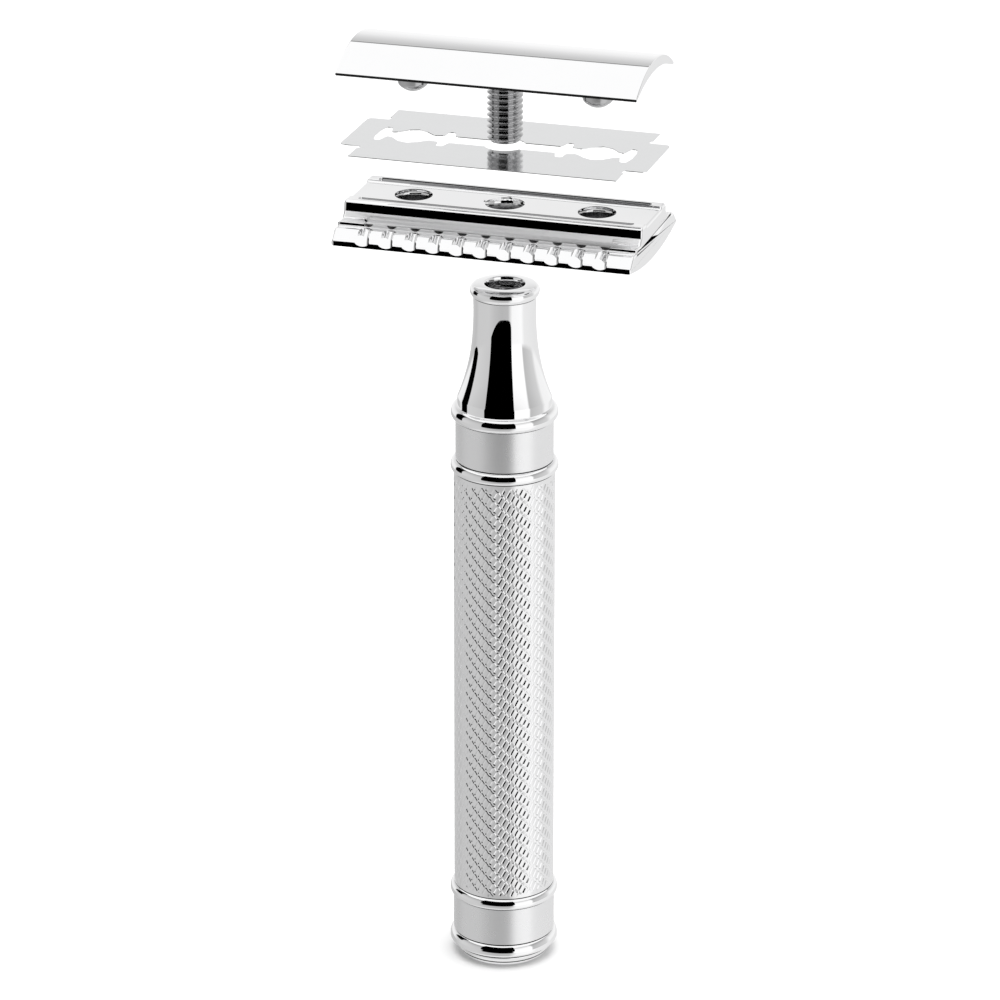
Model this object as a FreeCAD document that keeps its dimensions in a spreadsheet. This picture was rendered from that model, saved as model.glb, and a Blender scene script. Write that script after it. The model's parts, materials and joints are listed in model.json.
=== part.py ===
import FreeCAD, Part
import math
import os
import Sketcher

# Three-piece safety razor, taken apart along its handle axis as it is for changing the blade.
# +Z is up along the handle, +X runs along the head, and the origin is the centre of the foot's
# lower face.  The handle stands upright, and the base plate, the blade and the cap hang above
# it on their slides, each at the height from which it comes down to its seat.

doc = FreeCAD.newDocument("SafetyRazor")
sheet = doc.addObject("Spreadsheet::Sheet", "Sizes")

DRIVING_SIZES = {
    # handle, turned pieces: heights above the foot, and radii
    "foot_radius": 6.0,
    "foot_ledge_radius": 6.5,
    "foot_bead_root": 6.9,
    "foot_bead_reach": 7.68,
    "foot_ledge_low": 0.52,
    "foot_bead_low": 1.95,
    "foot_top": 3.6,
    "lower_band_radius": 7.15,
    "lower_band_top": 9.2,
    "bead_height": 1.6,
    "lower_bead_root": 7.0,
    "upper_bead_root": 6.88,
    "bead_bulge": 0.83,
    "grip_radius": 7.05,
    "grip_top": 73.6,
    "upper_band_radius": 6.8,
    "upper_band_top": 81.15,
    "band_chamfer": 0.15,
    "neck_bead_root": 6.7,
    "neck_bead_height": 1.95,
    "neck_bead_bulge": 1.016,
    "flare_root": 6.53,
    "flare_low": 84.2,
    "flare_high": 93.6,
    "flare_top_radius": 4.42,
    "flare_curve": 29.8,
    "flare_end": 96.9,
    "flare_end_curve": 49.6,
    "neck_radius": 4.31,
    "collar_low": 98.9,
    "collar_root": 4.4,
    "collar_shoulder": 4.5,
    "collar_shoulder_height": 100.42,
    "collar_bulge": 0.97,
    "handle_top": 100.62,
    "mouth_radius": 2.95,
    "mouth_rim": 2.8,
    "mouth_rim_height": 100.5,
    "lip_radius": 2.58,
    "lip_height": 99.45,
    # inside of the handle
    "core_radius": 5.2,
    "spigot_radius": 3.5,
    "press_gap": 0.02,
    "recess_floor": 1.4,
    "bush_low": 92.45,
    "bush_bore": 2.55,
    "bush_gap": 0.05,
    "bush_clearance": 0.03,
    # base plate: heights are counted from its recessed floor
    "floor_height": 112.0,
    "plate_length": 42.1,
    "floor_edge": 3.4,
    "rib_inner": 3.95,
    "rib_outer": 5.25,
    "rib_rise": 0.35,
    "rib_round": 0.62,
    "rib_shoulder": 5.95,
    "shoulder_drop": 0.2,
    "wall_foot": 6.15,
    "wall_drop": 1.1,
    "ledge_width": 6.9,
    "ledge_drop": 1.85,
    "ledge_outer": 8.7,
    "bar_inner": 8.8,
    "bar_drop": 2.3,
    "bar_crest": 9.9,
    "bar_crest_round": 0.75,
    "bar_facet_top": 10.35,
    "bar_facet_drop": 2.52,
    "bar_nose": 11.36,
    "bar_nose_drop": 3.5,
    "bar_nose_round": 0.38,
    "bar_side_drop": 3.85,
    "bar_reach": 11.6,
    "bar_bottom_drop": 4.35,
    "belly_drop": 5.7,
    "trough_inner": 6.45,
    "trough_outer": 8.65,
    "trough_drop": 2.4,
    "trough_half_length": 17.2,
    "slot_end_fullness": 1.05,
    "groove_inner": 4.0,
    "groove_outer": 4.95,
    "groove_depth": 0.4,
    "groove_half_length": 19.4,
    "socket_radius": 5.15,
    "socket_height": 109.6,
    "centre_bore": 2.7,
    "centre_rim": 3.3,
    "pin_bore": 2.6,
    "pin_rim": 3.2,
    "rim_depth": 0.3,
    "scoop_radius": 1.3,
    "scoop_pitch": 3.33,
    "scoop_start": 9.5,
    "scoop_slope": 24.0,
    "scoop_spread": 16.0,
    "scoop_lead": 1.0,
    "scoop_reach": 5.5,
    # blade
    "blade_height": 120.25,
    "blade_thickness": 0.1,
    "blade_half_length": 21.5,
    "blade_half_width": 11.0,
    "edge_half_length": 18.7,
    "tab_half_width": 6.3,
    "tab_round": 0.8,
    "notch_depth": 0.75,
    "notch_width": 1.1,
    "slot_half_width": 1.5,
    "slot_hole": 2.85,
    "arm_inner": 7.7,
    "arm_outer": 8.9,
    "arm_half_width": 3.2,
    "neck_inner": 10.4,
    "neck_half_width": 1.2,
    "diamond_half_width": 3.15,
    "neck_outer": 16.3,
    "end_neck_half_width": 0.9,
    "end_inner": 17.1,
    "end_outer": 18.0,
    "end_half_width": 3.0,
    # cap with its stud and pins
    "cap_low": 130.85,
    "cap_length": 41.9,
    "cap_half_width": 9.4,
    "cap_edge": 0.35,
    "cap_crest": 134.25,
    "cap_hollow_half_width": 9.1,
    "cap_hollow_top": 132.6,
    "cap_round": 0.3,
    "stud_tip": 121.0,
    "stud_radius": 2.45,
    "stud_chamfer": 0.45,
    "thread_pitch": 0.8,
    "thread_root": 2.0,
    "thread_flat": 0.1,
    "seat_depth": 1.0,
    "pin_offset": 13.0,
    "pin_radius": 2.1,
    "pin_tip": 126.8,
    "pin_dome": 1.3,
}

SCOOPS_EACH_SIDE = 5
CLOSE = 0.01
SAME_POINT = 1e-6
LEAST_CUT = 1e-4
PAST_BELLY = 1.2


class Size:
    """A length with the sheet expression that gives it."""

    def __init__(self, value, text):
        self.value = value
        self.text = text

    def joined(self, other, sign, value):
        return Size(value, "(%s %s %s)" % (self.text, sign, other.text))

    def __add__(self, other):
        other = as_size(other)
        return self.joined(other, "+", self.value + other.value)

    def __sub__(self, other):
        other = as_size(other)
        return self.joined(other, "-", self.value - other.value)

    def __mul__(self, other):
        other = as_size(other)
        return self.joined(other, "*", self.value * other.value)

    def __truediv__(self, other):
        other = as_size(other)
        return self.joined(other, "/", self.value / other.value)

    def __neg__(self):
        return as_size(0.0) - self


def as_size(number):
    """Turn a plain number into a Size, and leave a Size as it is."""
    if isinstance(number, Size):
        return number
    return Size(float(number), repr(float(number)))


def fill_sheet(numbers):
    """Write the driving sizes with their aliases, and return them as Size objects by name."""
    sizes = {}
    for row, (alias, number) in enumerate(numbers.items(), start=1):
        sheet.set("A%d" % row, alias)
        sheet.set("B%d" % row, repr(number))
        sheet.setAlias("B%d" % row, alias)
        sizes[alias] = Size(number, "Sizes." + alias)
    doc.recompute()
    return sizes


S = fill_sheet(DRIVING_SIZES)
ZERO = as_size(0.0)


def root_of(size):
    """Square root of an area given as a Size."""
    return Size(math.sqrt(size.value), "sqrt(%s)" % size.text)


def arc_radius(half_chord, rise):
    """Radius of the arc that spans twice half_chord and rises by rise."""
    return (half_chord * half_chord + rise * rise) / (rise * 2)


def bind(thing, path, size):
    """Set a property from an expression of the sheet."""
    thing.setExpression(path, as_size(size).text)


def make_body(label):
    """Start a body whose file takes its name from label."""
    body = doc.addObject("PartDesign::Body", "Body_" + label)
    body.Label = label
    return body


def make_sketch(body, name, plane, height=None):
    """Add a sketch on one of the body's own origin planes, raised by height if one is given."""
    sketch = body.newObject("Sketcher::SketchObject", name)
    for feature in body.Origin.OriginFeatures:
        if feature.Role == plane:
            sketch.AttachmentSupport = [(feature, "")]
    sketch.MapMode = "FlatFace"
    if height is not None:
        bind(sketch, "AttachmentOffset.Base.z", height)
    doc.recompute()
    return sketch


def arc_between(first, last, radius, side):
    """Short arc from first to last; side +1 bulges to the right of the way there, -1 to the left."""
    chord = last.sub(first)
    half = chord.Length / 2
    across = FreeCAD.Vector(chord.y, -chord.x, 0).normalize().multiply(side)
    middle = first.add(last).multiply(0.5)
    sagitta = radius - math.sqrt(max(radius * radius - half * half, 0.0))
    return Part.Arc(first, middle.add(across.multiply(sagitta)), last)


def draw_outline(sketch, corners, bends=None):
    """Draw a closed outline; every corner is bound to the sheet, and so is every bend's radius."""
    bends = bends or {}
    points = [FreeCAD.Vector(x.value, y.value, 0) for x, y in corners]
    starts = []
    ends = []
    for index, point in enumerate(points):
        following = points[(index + 1) % len(points)]
        if index in bends:
            radius, side = bends[index]
            edge = sketch.addGeometry(arc_between(point, following, radius.value, side), False)
            sketch.addConstraint(Sketcher.Constraint("Radius", edge, radius.value))
            bind(sketch, "Constraints[%d]" % (sketch.ConstraintCount - 1), radius)
        else:
            edge = sketch.addGeometry(Part.LineSegment(point, following), False)
        forward = sketch.getPoint(edge, 1).distanceToPoint(point) < SAME_POINT
        starts.append((edge, 1 if forward else 2))
        ends.append((edge, 2 if forward else 1))
    for index, (x, y) in enumerate(corners):
        edge, end = starts[index]
        previous_edge, previous_end = ends[index - 1]
        sketch.addConstraint(
            Sketcher.Constraint("Coincident", previous_edge, previous_end, edge, end))
        place_point(sketch, edge, end, x, y)


def place_point(sketch, edge, end, x, y):
    """Hold one end of an edge at x, y, counted from the sketch's origin."""
    for kind, size, axis in (("DistanceX", x, -2), ("DistanceY", y, -1)):
        if abs(size.value) < SAME_POINT:
            sketch.addConstraint(Sketcher.Constraint("PointOnObject", edge, end, axis))
        else:
            sketch.addConstraint(Sketcher.Constraint(kind, -1, 1, edge, end, size.value))
            bind(sketch, "Constraints[%d]" % (sketch.ConstraintCount - 1), size)


def draw_circle(sketch, x, radius):
    """Draw a circle on the sketch's horizontal axis at x."""
    circle = Part.Circle(FreeCAD.Vector(x.value, 0, 0), FreeCAD.Vector(0, 0, 1), radius.value)
    edge = sketch.addGeometry(circle, False)
    sketch.addConstraint(Sketcher.Constraint("Radius", edge, radius.value))
    bind(sketch, "Constraints[%d]" % (sketch.ConstraintCount - 1), radius)
    place_point(sketch, edge, 3, x, ZERO)


def turned(label, corners, bends=None):
    """A lathe-turned piece: an outline of radius and height revolved about the handle axis."""
    body = make_body(label)
    sketch = make_sketch(body, label + "_outline", "XZ_Plane")
    draw_outline(sketch, corners, bends)
    doc.recompute()
    revolution = body.newObject("PartDesign::Revolution", label + "_turned")
    revolution.Profile = sketch
    revolution.ReferenceAxis = (sketch, ["V_Axis"])
    revolution.Angle = 360
    doc.recompute()
    return body


def pad(body, sketch, length, both_ways=False):
    """Raise a sketch by length, or by half of it each way."""
    feature = body.newObject("PartDesign::Pad", sketch.Name + "_pad")
    feature.Profile = sketch
    bind(feature, "Length", length)
    feature.Midplane = both_ways
    doc.recompute()
    return feature


def pocket(body, sketch, depth, upwards=False):
    """Cut a sketch into the body, and make sure that the cut removes something."""
    before = body.Shape.Volume
    feature = body.newObject("PartDesign::Pocket", sketch.Name + "_pocket")
    feature.Profile = sketch
    feature.Reversed = upwards
    bind(feature, "Length", depth)
    doc.recompute()
    if body.Shape.Volume > before - LEAST_CUT:
        raise RuntimeError(sketch.Name + " cuts nothing")
    return feature


def ring(label, inner, outer, low, high, chamfer):
    """A plain sleeve with broken outer corners."""
    return turned(label, [
        (inner, low), (outer - chamfer, low), (outer, low + chamfer),
        (outer, high - chamfer), (outer - chamfer, high), (inner, high)])


def bead(label, inner, root, low):
    """A half-round ring between two sleeves."""
    high = low + S["bead_height"]
    return turned(label, [
        (inner, low), (root, low), (root, high), (inner, high)],
        {1: (S["bead_bulge"], 1)})


def make_foot_cap():
    """The stepped foot that the handle stands on, with the lowest bead and a recess on top."""
    recess = S["spigot_radius"] + S["press_gap"]
    bulge = arc_radius((S["foot_top"] - S["foot_bead_low"]) / 2,
                       S["foot_bead_reach"] - S["foot_bead_root"] - S["band_chamfer"])
    return turned("foot_cap", [
        (ZERO, ZERO), (S["foot_radius"], ZERO),
        (S["foot_radius"] + S["band_chamfer"] * 2, S["foot_ledge_low"] - S["band_chamfer"]),
        (S["foot_ledge_radius"], S["foot_ledge_low"]),
        (S["foot_bead_root"] - S["band_chamfer"], S["foot_bead_low"] - S["band_chamfer"]),
        (S["foot_bead_root"], S["foot_bead_low"]),
        (S["foot_bead_root"] + S["band_chamfer"], S["foot_top"]),
        (recess, S["foot_top"]), (recess, S["recess_floor"]), (ZERO, S["recess_floor"])],
        {5: (bulge, 1)})


def make_handle_core():
    """The rod inside the handle, on whose spigots the foot cap and the neck are pressed."""
    low = S["recess_floor"] + S["press_gap"]
    shoulder_low = S["foot_top"] + S["press_gap"]
    shoulder_high = S["upper_band_top"] - S["press_gap"]
    top = S["bush_low"] - S["bush_gap"]
    return turned("handle_core", [
        (ZERO, low), (S["spigot_radius"], low), (S["spigot_radius"], shoulder_low),
        (S["core_radius"], shoulder_low), (S["core_radius"], shoulder_high),
        (S["spigot_radius"], shoulder_high), (S["spigot_radius"], top), (ZERO, top)])


def make_neck():
    """The flared neck: its lower bead, the hollow flare, and the collar round the mouth."""
    bore = S["spigot_radius"] + S["press_gap"]
    low = S["upper_band_top"]
    return turned("neck", [
        (bore, low), (S["neck_bead_root"], low),
        (S["neck_bead_root"], low + S["neck_bead_height"]),
        (S["flare_root"], low + S["neck_bead_height"]), (S["flare_root"], S["flare_low"]),
        (S["flare_top_radius"], S["flare_high"]), (S["neck_radius"], S["flare_end"]),
        (S["neck_radius"], S["collar_low"]),
        (S["collar_root"], S["collar_low"]),
        (S["collar_shoulder"], S["collar_shoulder_height"]),
        (S["mouth_radius"], S["handle_top"]), (S["mouth_rim"], S["mouth_rim_height"]),
        (S["lip_radius"], S["lip_height"]), (bore, S["lip_height"])],
        {1: (S["neck_bead_bulge"], 1), 4: (S["flare_curve"], -1), 5: (S["flare_end_curve"], -1),
         8: (S["collar_bulge"], 1)})


def make_thread_insert():
    """The bush in the neck that takes the stud; it turns in the neck with a running clearance."""
    outer = S["spigot_radius"] + S["press_gap"] - S["bush_clearance"]
    low = S["bush_low"]
    high = S["lip_height"] - S["bush_gap"]
    entry = S["bush_bore"] + S["band_chamfer"]
    return turned("thread_insert", [
        (S["bush_bore"], low), (outer, low), (outer, high), (entry, high),
        (S["bush_bore"], high - S["band_chamfer"])])


def both_halves(right):
    """Close an outline's right half with its mirror image."""
    return right + [(-x, y) for x, y in reversed(right)]


def make_plate_blank():
    """The base plate with its ribs, troughs and outer bars, before its holes and scoops."""
    floor = S["floor_height"]
    half = [
        (S["bar_reach"], floor - S["bar_bottom_drop"]),
        (S["bar_reach"], floor - S["bar_side_drop"]),
        (S["bar_nose"], floor - S["bar_nose_drop"]),
        (S["bar_facet_top"], floor - S["bar_facet_drop"]),
        (S["bar_crest"], floor - S["bar_drop"]),
        (S["bar_inner"], floor - S["bar_drop"]),
        (S["ledge_outer"], floor - S["ledge_drop"]),
        (S["ledge_width"], floor - S["ledge_drop"]),
        (S["wall_foot"], floor - S["wall_drop"]),
        (S["rib_shoulder"], floor - S["shoulder_drop"]),
        (S["rib_outer"], floor + S["rib_rise"]),
        (S["rib_inner"], floor + S["rib_rise"]),
        (S["floor_edge"], floor)]
    corners = both_halves(half)
    last = len(corners) - 1
    belly = arc_radius(S["bar_reach"], S["belly_drop"] - S["bar_bottom_drop"])
    body = make_body("plate_blank")
    sketch = make_sketch(body, "plate_section", "YZ_Plane")
    draw_outline(sketch, corners, {
        1: (S["bar_nose_round"], 1), 3: (S["bar_crest_round"], 1), 9: (S["rib_round"], 1),
        last - 2: (S["bar_nose_round"], 1), last - 4: (S["bar_crest_round"], 1),
        last - 10: (S["rib_round"], 1), last: (belly, 1)})
    doc.recompute()
    pad(body, sketch, S["plate_length"], both_ways=True)
    for side in (1, -1):
        cut_trough(body, side)
        cut_rib_groove(body, side)
    return body


def slot_outline(sketch, half_length, inner, outer, side):
    """A long slot with rounded ends, on one side of the head's centre line."""
    half_width = (outer - inner) / 2
    straight = half_length - half_width
    end = half_width * S["slot_end_fullness"]
    draw_outline(sketch, [(-straight, inner * side), (straight, inner * side),
                          (straight, outer * side), (-straight, outer * side)],
                 {1: (end, side), 3: (end, side)})


def cut_trough(body, side):
    """The lather trough between the platform and the bar, closed at both ends."""
    sketch = make_sketch(body, "trough_%s" % ("back" if side > 0 else "front"), "XY_Plane",
                         S["floor_height"])
    slot_outline(sketch, S["trough_half_length"], S["trough_inner"], S["trough_outer"], side)
    doc.recompute()
    pocket(body, sketch, S["trough_drop"])


def cut_rib_groove(body, side):
    """The shallow groove along the crest of a rib."""
    sketch = make_sketch(body, "rib_groove_%s" % ("back" if side > 0 else "front"), "XY_Plane",
                         S["floor_height"] + S["rib_rise"])
    slot_outline(sketch, S["groove_half_length"], S["groove_inner"], S["groove_outer"], side)
    doc.recompute()
    pocket(body, sketch, S["groove_depth"])


def cylinder(label, radius, height, x, z):
    """A round cutter that stands on the head's centre line."""
    tool = doc.addObject("Part::Cylinder", label)
    bind(tool, "Radius", radius)
    bind(tool, "Height", height)
    bind(tool, "Placement.Base.x", x)
    bind(tool, "Placement.Base.z", z)
    return tool


def countersink(label, bore, rim, x):
    """A cone that opens a hole towards the plate's floor."""
    tool = doc.addObject("Part::Cone", label)
    bind(tool, "Radius1", bore)
    bind(tool, "Radius2", rim)
    bind(tool, "Height", S["rim_depth"])
    bind(tool, "Placement.Base.x", x)
    bind(tool, "Placement.Base.z", S["floor_height"] - S["rim_depth"])
    return tool


def make_plate_holes():
    """The stud's hole, the two pin holes and the socket that the handle's collar enters."""
    through = S["belly_drop"] * PAST_BELLY
    low = S["floor_height"] - through
    tools = [
        cylinder("stud_hole", S["centre_bore"], through, ZERO, low),
        countersink("stud_hole_rim", S["centre_bore"], S["centre_rim"], ZERO),
        cylinder("collar_socket", S["socket_radius"], S["socket_height"] - low, ZERO, low)]
    for side, name in ((-1, "left"), (1, "right")):
        x = S["pin_offset"] * side
        tools.append(cylinder("pin_hole_" + name, S["pin_bore"], through, x, low))
        tools.append(countersink("pin_hole_rim_" + name, S["pin_bore"], S["pin_rim"], x))
    return tools


def make_scoops():
    """The fan-shaped scoops, running down and outwards, that leave the teeth of the safety bars."""
    # Each cutter is a cone that widens outwards.  The line through its lowest points starts
    # inside the bar's flat top, one lead before the scoop does.
    slope = math.radians(S["scoop_slope"].value)
    widening = math.tan(math.radians(S["scoop_spread"].value))
    lead = S["scoop_lead"]
    radius = S["scoop_radius"]
    narrow = radius - lead * widening
    outwards = radius * math.sin(slope) - lead * math.cos(slope)
    upwards = radius * math.cos(slope) + lead * math.sin(slope)
    tools = []
    for side in (1, -1):
        turn = -side * (90 + S["scoop_slope"].value)
        for number in range(-SCOOPS_EACH_SIDE, SCOOPS_EACH_SIDE + 1):
            tool = doc.addObject("Part::Cone", "scoop")
            bind(tool, "Radius1", narrow)
            bind(tool, "Radius2", narrow + S["scoop_reach"] * widening)
            bind(tool, "Height", S["scoop_reach"])
            tool.Placement.Rotation = FreeCAD.Rotation(FreeCAD.Vector(1, 0, 0), turn)
            bind(tool, "Placement.Base.x", S["scoop_pitch"] * number)
            bind(tool, "Placement.Base.y", (S["scoop_start"] + outwards) * side)
            bind(tool, "Placement.Base.z", S["floor_height"] - S["bar_drop"] + upwards)
            tools.append(tool)
    return tools


def cut_all(label, base, tools):
    """Take the tools, joined into one, away from the base."""
    joined = doc.addObject("Part::MultiFuse", label + "_tools")
    joined.Shapes = tools
    cut = doc.addObject("Part::Cut", label)
    cut.Label = label
    cut.Base = base
    cut.Tool = joined
    doc.recompute()
    return cut


def make_base_plate():
    """The plate under the blade, with its holes, its socket and the scooped bars."""
    return cut_all("base_plate", make_plate_blank(), make_plate_holes() + make_scoops())


def blade_outline():
    """Right half of the blade's outline, from the front edge to the back edge."""
    shoulder = S["tab_half_width"] + S["notch_width"]
    quarter = [
        (S["edge_half_length"], S["blade_half_width"]),
        (S["edge_half_length"], shoulder),
        (S["edge_half_length"], S["tab_half_width"]),
        (S["blade_half_length"] - S["tab_round"], S["tab_half_width"]),
        (S["blade_half_length"], S["tab_half_width"] - S["tab_round"])]
    return [(x, -y) for x, y in quarter] + list(reversed(quarter))


def slot_half():
    """Right half of the slot through the blade, from its front side to its back side."""
    hole_x = root_of(S["slot_hole"] * S["slot_hole"] - S["slot_half_width"] * S["slot_half_width"])
    quarter = [
        (hole_x, S["slot_half_width"]), (S["arm_inner"], S["slot_half_width"]),
        (S["arm_inner"], S["arm_half_width"]), (S["arm_outer"], S["arm_half_width"]),
        (S["arm_outer"], S["slot_half_width"]), (S["neck_inner"], S["neck_half_width"]),
        (S["pin_offset"], S["diamond_half_width"]), (S["neck_outer"], S["end_neck_half_width"]),
        (S["end_inner"], S["end_half_width"]), (S["end_outer"], S["end_half_width"])]
    return [(x, -y) for x, y in quarter] + list(reversed(quarter))


def make_blade():
    """The double-edge blade with its notched corners and its long slot."""
    body = make_body("blade")
    outline = make_sketch(body, "blade_outline", "XY_Plane", S["blade_height"])
    notch = arc_radius(S["notch_width"] / 2, S["notch_depth"] / 2)
    corners = both_halves(blade_outline())
    draw_outline(outline, corners, {
        1: (notch, -1), 7: (notch, -1), 11: (notch, -1), 17: (notch, -1),
        3: (S["tab_round"], 1), 5: (S["tab_round"], 1),
        13: (S["tab_round"], 1), 15: (S["tab_round"], 1)})
    doc.recompute()
    pad(body, outline, S["blade_thickness"])
    slot = make_sketch(body, "blade_slot", "XY_Plane",
                       S["blade_height"] + S["blade_thickness"])
    corners = both_halves(slot_half())
    last = len(corners) - 1
    middle = len(corners) // 2 - 1
    draw_outline(slot, corners, {middle: (S["slot_hole"], 1), last: (S["slot_hole"], 1)})
    doc.recompute()
    pocket(body, slot, S["blade_thickness"] * 2)
    return body


def make_cap():
    """The arched cap, hollow underneath, with seats for the stud and the two pins."""
    body = make_body("cap")
    section = make_sketch(body, "cap_section", "YZ_Plane")
    edge_top = S["cap_low"] + S["cap_edge"]
    crown = arc_radius(S["cap_half_width"], S["cap_crest"] - edge_top)
    hollow = arc_radius(S["cap_hollow_half_width"], S["cap_hollow_top"] - S["cap_low"])
    draw_outline(section, [
        (S["cap_hollow_half_width"], S["cap_low"]), (S["cap_half_width"], S["cap_low"]),
        (S["cap_half_width"], edge_top), (-S["cap_half_width"], edge_top),
        (-S["cap_half_width"], S["cap_low"]), (-S["cap_hollow_half_width"], S["cap_low"])],
        {2: (crown, 1), 5: (hollow, -1)})
    doc.recompute()
    pad(body, section, S["cap_length"], both_ways=True)
    seats = make_sketch(body, "cap_seats", "XY_Plane", S["cap_low"])
    draw_circle(seats, ZERO, S["stud_radius"] + S["press_gap"])
    for side in (-1, 1):
        draw_circle(seats, S["pin_offset"] * side, S["pin_radius"] + S["press_gap"])
    doc.recompute()
    pocket(body, seats, S["cap_hollow_top"] - S["cap_low"] + S["seat_depth"], upwards=True)
    round_cap_ends(body)
    return body


def round_cap_ends(body):
    """Round the crown's curved edges at both ends of the cap."""
    unrounded = body.Tip
    names = []
    for number, edge in enumerate(body.Shape.Edges, start=1):
        box = edge.BoundBox
        at_end = box.XLength < CLOSE and abs(box.XMax) > S["cap_length"].value / 2 - CLOSE
        if at_end and box.ZMax > S["cap_crest"].value - CLOSE:
            names.append("Edge%d" % number)
    feature = body.newObject("PartDesign::Fillet", "cap_end_round")
    feature.Base = (unrounded, names)
    bind(feature, "Radius", S["cap_round"])
    doc.recompute()


def make_threaded_stud():
    """The stud under the cap, with a helical thread and a chamfered tip."""
    top = S["cap_hollow_top"] + S["seat_depth"] - S["press_gap"]
    chamfer = S["stud_chamfer"]
    body = turned("threaded_stud", [
        (ZERO, S["stud_tip"]), (S["stud_radius"] - chamfer, S["stud_tip"]),
        (S["stud_radius"], S["stud_tip"] + chamfer), (S["stud_radius"], top), (ZERO, top)])
    groove = make_sketch(body, "thread_groove", "XZ_Plane")
    low = S["stud_tip"] - S["thread_pitch"]
    half = S["thread_pitch"] / 2 - S["thread_flat"] / 2
    flat = S["thread_flat"] / 2
    out = S["stud_radius"] + S["press_gap"]
    draw_outline(groove, [
        (out, low - half), (out, low + half),
        (S["thread_root"], low + flat), (S["thread_root"], low - flat)])
    doc.recompute()
    before = body.Shape.Volume
    helix = body.newObject("PartDesign::SubtractiveHelix", "thread")
    helix.Profile = groove
    helix.ReferenceAxis = (groove, ["V_Axis"])
    helix.Mode = "pitch-height-angle"
    bind(helix, "Pitch", S["thread_pitch"])
    bind(helix, "Height", S["cap_hollow_top"] - S["stud_tip"])
    doc.recompute()
    if body.Shape.Volume > before - LEAST_CUT:
        raise RuntimeError("the thread cuts nothing")
    return body


def make_locating_pins():
    """The two domed pins that hold the blade and the plate square to the cap."""
    top = S["cap_hollow_top"] + S["seat_depth"] - S["press_gap"]
    side_height = S["pin_tip"] + S["pin_dome"]
    dome = arc_radius(S["pin_radius"], S["pin_dome"])
    pins = []
    for side, name in ((-1, "left"), (1, "right")):
        body = turned("pin_" + name, [
            (ZERO, S["pin_tip"]), (S["pin_radius"], side_height), (S["pin_radius"], top),
            (ZERO, top)], {0: (dome, 1)})
        bind(body, "Placement.Base.x", S["pin_offset"] * side)
        pins.append(body)
    pair = doc.addObject("Part::Compound", "locating_pins")
    pair.Label = "locating_pins"
    pair.Links = pins
    doc.recompute()
    return pair


def make_sub_parts():
    """Build every piece that gets a file of its own."""
    sleeve_bore = S["core_radius"] + S["press_gap"]
    grip_low = S["lower_band_top"] + S["bead_height"]
    band_low = S["grip_top"] + S["bead_height"]
    return [
        make_foot_cap(),
        ring("lower_band", sleeve_bore, S["lower_band_radius"], S["foot_top"],
             S["lower_band_top"], S["band_chamfer"]),
        bead("lower_bead", sleeve_bore, S["lower_bead_root"], S["lower_band_top"]),
        ring("grip_sleeve", sleeve_bore, S["grip_radius"], grip_low, S["grip_top"],
             S["band_chamfer"]),
        bead("upper_bead", sleeve_bore, S["upper_bead_root"], S["grip_top"]),
        ring("upper_band", sleeve_bore, S["upper_band_radius"], band_low,
             S["upper_band_top"], S["band_chamfer"]),
        make_handle_core(),
        make_neck(),
        make_thread_insert(),
        make_base_plate(),
        make_blade(),
        make_cap(),
        make_threaded_stud(),
        make_locating_pins()]


def check_document(sub_parts):
    """Stop before writing if any object failed or any piece's shape is not sound."""
    for thing in doc.Objects:
        if "Invalid" in thing.State or "Error" in thing.State:
            raise RuntimeError("%s failed: %s" % (thing.Label, thing.State))
    for piece in sub_parts:
        if piece.Shape.isNull() or not piece.Shape.isValid() or not piece.Shape.Solids:
            raise RuntimeError(piece.Label + " has no sound shape")
        box = piece.Shape.BoundBox
        print("%-15s %d solid(s) %9.2f mm3  z %7.2f to %7.2f" % (
            piece.Label, len(piece.Shape.Solids), piece.Shape.Volume, box.ZMin, box.ZMax))


def write_files(sub_parts):
    """Write one file per piece, named after its label."""
    os.makedirs("parts", exist_ok=True)
    for piece in sub_parts:
        piece.Shape.exportStep("parts/%s.step" % piece.Label)


pieces = make_sub_parts()
doc.recompute()
check_document(pieces)
write_files(pieces)
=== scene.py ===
import json
import math

import bmesh
import bpy
from mathutils import Matrix, Vector

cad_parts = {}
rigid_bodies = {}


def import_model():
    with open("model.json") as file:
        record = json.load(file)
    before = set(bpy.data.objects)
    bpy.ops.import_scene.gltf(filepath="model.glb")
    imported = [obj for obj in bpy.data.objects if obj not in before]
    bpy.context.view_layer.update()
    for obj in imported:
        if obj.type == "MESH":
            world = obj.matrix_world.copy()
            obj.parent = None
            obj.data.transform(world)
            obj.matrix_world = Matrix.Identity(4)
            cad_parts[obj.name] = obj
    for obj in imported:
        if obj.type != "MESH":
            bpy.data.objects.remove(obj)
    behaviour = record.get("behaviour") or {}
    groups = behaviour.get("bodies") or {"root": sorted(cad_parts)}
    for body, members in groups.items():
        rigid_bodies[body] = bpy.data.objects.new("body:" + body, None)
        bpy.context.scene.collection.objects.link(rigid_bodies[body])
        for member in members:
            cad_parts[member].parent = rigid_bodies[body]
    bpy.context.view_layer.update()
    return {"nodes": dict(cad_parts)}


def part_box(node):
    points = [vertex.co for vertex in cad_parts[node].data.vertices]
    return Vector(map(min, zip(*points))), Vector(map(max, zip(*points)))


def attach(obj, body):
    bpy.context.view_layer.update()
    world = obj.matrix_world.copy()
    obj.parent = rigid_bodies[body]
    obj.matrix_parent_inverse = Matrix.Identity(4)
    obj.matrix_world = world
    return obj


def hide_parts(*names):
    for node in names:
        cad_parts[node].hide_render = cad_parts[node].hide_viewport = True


# A three-piece safety razor taken apart along its handle axis: mirror chrome, two satin bands,
# an engraved grip and a bare steel blade, on a white sweep under soft light.

MM = 0.001
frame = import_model()
scene = bpy.context.scene

# ---------------------------------------------------------------- camera

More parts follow.
